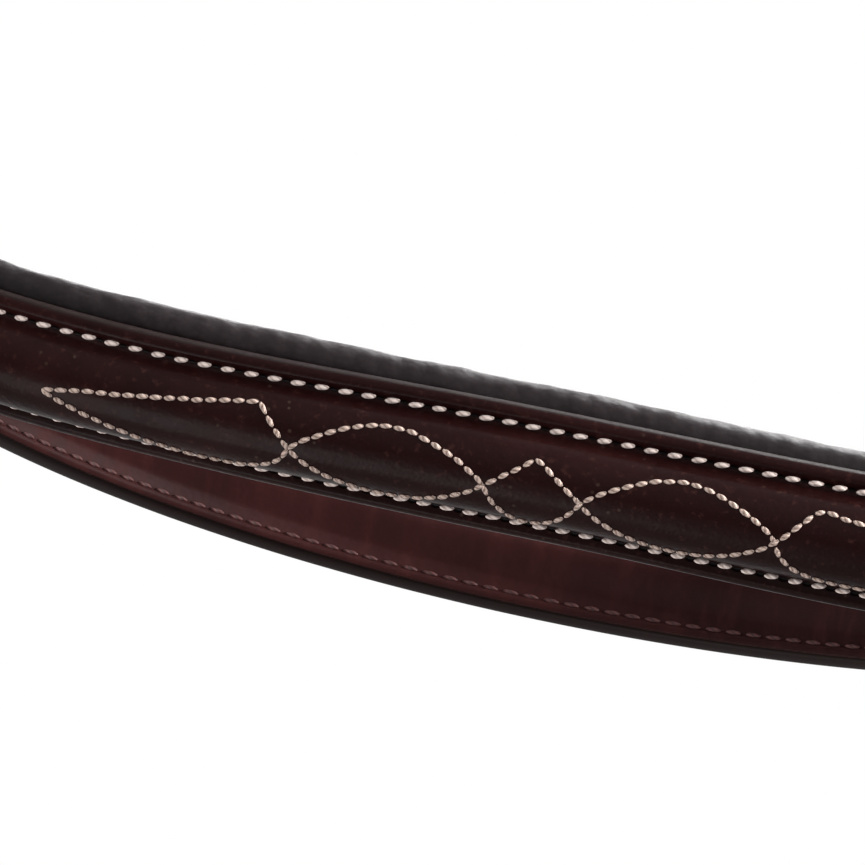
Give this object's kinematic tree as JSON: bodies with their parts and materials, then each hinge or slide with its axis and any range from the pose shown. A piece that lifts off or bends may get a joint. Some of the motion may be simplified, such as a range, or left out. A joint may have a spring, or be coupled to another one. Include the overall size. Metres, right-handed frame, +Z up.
{
  "type": "figure eight bridle",
  "caption": "Figure eight bridle in its worn shape: padded raised browband with fancy stitching, crossing noseband with pad, cheekpieces, throatlatch and buckles",
  "frame": {"origin": "on the lined underside of the crown, where it rests on the poll, in the middle", "axes": "+Z up, -Y to the front of the face, +X to the horse's left"},
  "size_m": [0.2442, 0.2143, 0.4447],
  "materials": {
    "bit_keeper_lower_left": "smooth glossy bridle leather, dark havana brown",
    "bit_keeper_lower_right": "smooth glossy bridle leather, dark havana brown",
    "bit_keeper_upper_left": "smooth glossy bridle leather, dark havana brown",
    "bit_keeper_upper_right": "smooth glossy bridle leather, dark havana brown",
    "browband_core": "soft filling under a dark cover",
    "browband_face": "smooth glossy bridle leather, dark havana brown",
    "browband_lining": "soft matte lining leather",
    "browband_loop_left": "smooth glossy bridle leather, dark havana brown",
    "browband_loop_right": "smooth glossy bridle leather, dark havana brown",
    "cheek_left_buckle_frame": "polished stainless steel",
    "cheek_left_buckle_tongue": "polished stainless steel",
    "cheek_left_keeper": "smooth glossy bridle leather, dark havana brown",
    "cheek_left_runner": "smooth glossy bridle leather, dark havana brown",
    "cheek_right_buckle_frame": "polished stainless steel",
    "cheek_right_buckle_tongue": "polished stainless steel",
    "cheek_right_keeper": "smooth glossy bridle leather, dark havana brown",
    "cheek_right_runner": "smooth glossy bridle leather, dark havana brown",
    "cheekpiece_left": "smooth glossy bridle leather, dark havana brown",
    "cheekpiece_right": "smooth glossy bridle leather, dark havana brown",
    "chin_buckle_frame": "polished stainless steel",
    "chin_buckle_tongue": "polished stainless steel",
    "chin_keeper": "smooth glossy bridle leather, dark havana brown",
    "chin_runner": "smooth glossy bridle leather, dark havana brown",
    "cross_strap_inner": "smooth glossy bridle leather, dark havana brown",
    "cross_strap_outer": "smooth glossy bridle leather, dark havana brown",
    "headpiece": "smooth glossy bridle leather, dark havana brown",
    "headpiece_lining": "soft matte lining leather",
    "hook_stud_left": "polished stainless steel",
    "hook_stud_right": "polished stainless steel",
    "jowl_buckle_frame": "polished stainless steel",
    "jowl_buckle_tongue": "polished stainless steel",
    "jowl_keeper": "smooth glossy bridle leather, dark havana brown",
    "jowl_point": "smooth glossy bridle leather, dark havana brown",
    "jowl_runner": "smooth glossy bridle leather, dark havana brown",
    "jowl_strap": "smooth glossy bridle leather, dark havana brown",
    "nose_pad_cushion": "soft filling under a dark cover",
    "nose_pad_disc": "smooth glossy bridle leather, dark havana brown",
    "nose_pad_keeper": "smooth glossy bridle leather, dark havana brown",
    "nose_pad_rivet_bottom": "polished stainless steel",
    "nose_pad_rivet_top": "polished stainless steel",
    "noseband_buckle_frame": "polished stainless steel",
    "noseband_buckle_tongue": "polished stainless steel",
    "noseband_hanger": "smooth glossy bridle leather, dark havana brown",
    "noseband_hanger_point": "smooth glossy bridle leather, dark havana brown",
    "noseband_keeper": "smooth glossy bridle leather, dark havana brown",
    "noseband_ring_left": "polished stainless steel",
    "noseband_ring_right": "polished stainless steel",
    "noseband_runner": "smooth glossy bridle leather, dark havana brown",
    "throat_left_buckle_frame": "polished stainless steel",
    "throat_left_buckle_tongue": "polished stainless steel",
    "throat_left_keeper": "smooth glossy bridle leather, dark havana brown",
    "throat_left_runner": "smooth glossy bridle leather, dark havana brown",
    "throat_right_buckle_frame": "polished stainless steel",
    "throat_right_buckle_tongue": "polished stainless steel",
    "throat_right_keeper": "smooth glossy bridle leather, dark havana brown",
    "throat_right_runner": "smooth glossy bridle leather, dark havana brown",
    "throatlatch": "smooth glossy bridle leather, dark havana brown"
  },
  "bodies": {
    "bridle": {"bit_keeper_lower_left": "bit_keeper_lower_left", "bit_keeper_lower_right": "bit_keeper_lower_right", "bit_keeper_upper_left": "bit_keeper_upper_left", "bit_keeper_upper_right": "bit_keeper_upper_right", "cheek_left_buckle_frame": "cheek_left_buckle_frame", "cheek_left_keeper": "cheek_left_keeper", "cheek_right_buckle_frame": "cheek_right_buckle_frame", "cheek_right_keeper": "cheek_right_keeper", "cheekpiece_left": "cheekpiece_left", "cheekpiece_right": "cheekpiece_right", "chin_buckle_frame": "chin_buckle_frame", "chin_keeper": "chin_keeper", "cross_strap_inner": "cross_strap_inner", "cross_strap_outer": "cross_strap_outer", "headpiece": "headpiece", "headpiece_lining": "headpiece_lining", "hook_stud_left": "hook_stud_left", "hook_stud_right": "hook_stud_right", "jowl_buckle_frame": "jowl_buckle_frame", "jowl_keeper": "jowl_keeper", "jowl_point": "jowl_point", "jowl_strap": "jowl_strap", "noseband_buckle_frame": "noseband_buckle_frame", "noseband_hanger": "noseband_hanger", "noseband_hanger_point": "noseband_hanger_point", "noseband_keeper": "noseband_keeper", "throat_left_buckle_frame": "throat_left_buckle_frame", "throat_left_keeper": "throat_left_keeper", "throat_right_buckle_frame": "throat_right_buckle_frame", "throat_right_keeper": "throat_right_keeper", "throatlatch": "throatlatch"},
    "cheek_left_buckle_tongue": {"cheek_left_buckle_tongue": "cheek_left_buckle_tongue"},
    "cheek_left_runner": {"cheek_left_runner": "cheek_left_runner"},
    "cheek_right_buckle_tongue": {"cheek_right_buckle_tongue": "cheek_right_buckle_tongue"},
    "cheek_right_runner": {"cheek_right_runner": "cheek_right_runner"},
    "throat_left_buckle_tongue": {"throat_left_buckle_tongue": "throat_left_buckle_tongue"},
    "throat_left_runner": {"throat_left_runner": "throat_left_runner"},
    "throat_right_buckle_tongue": {"throat_right_buckle_tongue": "throat_right_buckle_tongue"},
    "throat_right_runner": {"throat_right_runner": "throat_right_runner"},
    "noseband_buckle_tongue": {"noseband_buckle_tongue": "noseband_buckle_tongue"},
    "noseband_runner": {"noseband_runner": "noseband_runner"},
    "jowl_buckle_tongue": {"jowl_buckle_tongue": "jowl_buckle_tongue"},
    "jowl_runner": {"jowl_runner": "jowl_runner"},
    "chin_buckle_tongue": {"chin_buckle_tongue": "chin_buckle_tongue"},
    "chin_runner": {"chin_runner": "chin_runner"},
    "noseband_ring_left": {"noseband_ring_left": "noseband_ring_left"},
    "noseband_ring_right": {"noseband_ring_right": "noseband_ring_right"},
    "browband": {"browband_core": "browband_core", "browband_face": "browband_face", "browband_lining": "browband_lining", "browband_loop_left": "browband_loop_left", "browband_loop_right": "browband_loop_right"},
    "nose_pad": {"nose_pad_cushion": "nose_pad_cushion", "nose_pad_disc": "nose_pad_disc", "nose_pad_keeper": "nose_pad_keeper", "nose_pad_rivet_bottom": "nose_pad_rivet_bottom", "nose_pad_rivet_top": "nose_pad_rivet_top"}
  },
  "joints": [
    {"name": "cheek_left_tongue_turn", "type": "hinge", "parent": "bridle", "child": "cheek_left_buckle_tongue", "pos_m": [0.10985, -0.06227, -0.15746], "axis": [0, 1, 0], "range_deg": [0, 6]},
    {"name": "cheek_left_runner_slide", "type": "slide", "parent": "bridle", "child": "cheek_left_runner", "axis": [-0.1639, 0, -0.9865], "range_m": [-0.005, 0.008]},
    {"name": "cheek_right_tongue_turn", "type": "hinge", "parent": "bridle", "child": "cheek_right_buckle_tongue", "pos_m": [-0.10985, -0.06227, -0.15746], "axis": [0, -1, 0], "range_deg": [0, 6]},
    {"name": "cheek_right_runner_slide", "type": "slide", "parent": "bridle", "child": "cheek_right_runner", "axis": [0.1639, 0, -0.9865], "range_m": [-0.005, 0.008]},
    {"name": "throat_left_tongue_turn", "type": "hinge", "parent": "bridle", "child": "throat_left_buckle_tongue", "pos_m": [0.11144, -0.0091, -0.15113], "axis": [0, 0.788, 0.6157], "range_deg": [0, 6]},
    {"name": "throat_left_runner_slide", "type": "slide", "parent": "bridle", "child": "throat_left_runner", "axis": [-0.121, 0.6111, -0.7822], "range_m": [-0.005, 0.008]},
    {"name": "throat_right_tongue_turn", "type": "hinge", "parent": "bridle", "child": "throat_right_buckle_tongue", "pos_m": [-0.11144, -0.0091, -0.15113], "axis": [0, -0.788, -0.6157], "range_deg": [0, 6]},
    {"name": "throat_right_runner_slide", "type": "slide", "parent": "bridle", "child": "throat_right_runner", "axis": [0.121, 0.6111, -0.7822], "range_m": [-0.005, 0.008]},
    {"name": "noseband_tongue_turn", "type": "hinge", "parent": "bridle", "child": "noseband_buckle_tongue", "pos_m": [0.10172, -0.04073, -0.17487], "axis": [0, 0.9808, 0.1948], "range_deg": [0, 6]},
    {"name": "noseband_runner_slide", "type": "slide", "parent": "bridle", "child": "noseband_runner", "axis": [-0.1879, 0.1913, -0.9634], "range_m": [-0.005, 0.008]},
    {"name": "jowl_tongue_turn", "type": "hinge", "parent": "bridle", "child": "jowl_buckle_tongue", "pos_m": [0.06575, 0.03355, -0.2519], "axis": [0, -0.2238, -0.9746], "range_deg": [0, 6]},
    {"name": "jowl_runner_slide", "type": "slide", "parent": "bridle", "child": "jowl_runner", "axis": [0.4449, -0.8728, 0.2004], "range_m": [-0.005, 0.005]},
    {"name": "chin_tongue_turn", "type": "hinge", "parent": "bridle", "child": "chin_buckle_tongue", "pos_m": [0.03705, -0.03813, -0.41398], "axis": [-0.1193, 0.2656, 0.9567], "range_deg": [0, 6]},
    {"name": "chin_runner_slide", "type": "slide", "parent": "bridle", "child": "chin_runner", "axis": [-0.8869, 0.4046, -0.2229], "range_m": [-0.005, 0.008]},
    {"name": "noseband_ring_left_turn", "type": "hinge", "parent": "bridle", "child": "noseband_ring_left", "pos_m": [0.088, -0.02677, -0.24519], "axis": [0.9822, 0.0366, -0.1843], "continuous": true},
    {"name": "noseband_ring_right_turn", "type": "hinge", "parent": "bridle", "child": "noseband_ring_right", "pos_m": [-0.088, -0.02677, -0.24519], "axis": [0.9822, -0.0366, 0.1843], "continuous": true},
    {"name": "browband_swing", "type": "hinge", "parent": "bridle", "child": "browband", "pos_m": [0, -0.05477, -0.09119], "axis": [1, 0, 0], "range_deg": [-20, 0]},
    {"name": "nose_pad_swivel", "type": "hinge", "parent": "bridle", "child": "nose_pad", "pos_m": [0, -0.13177, -0.33219], "axis": [0, 1, 0], "range_deg": [-4, 4]}
  ]
}
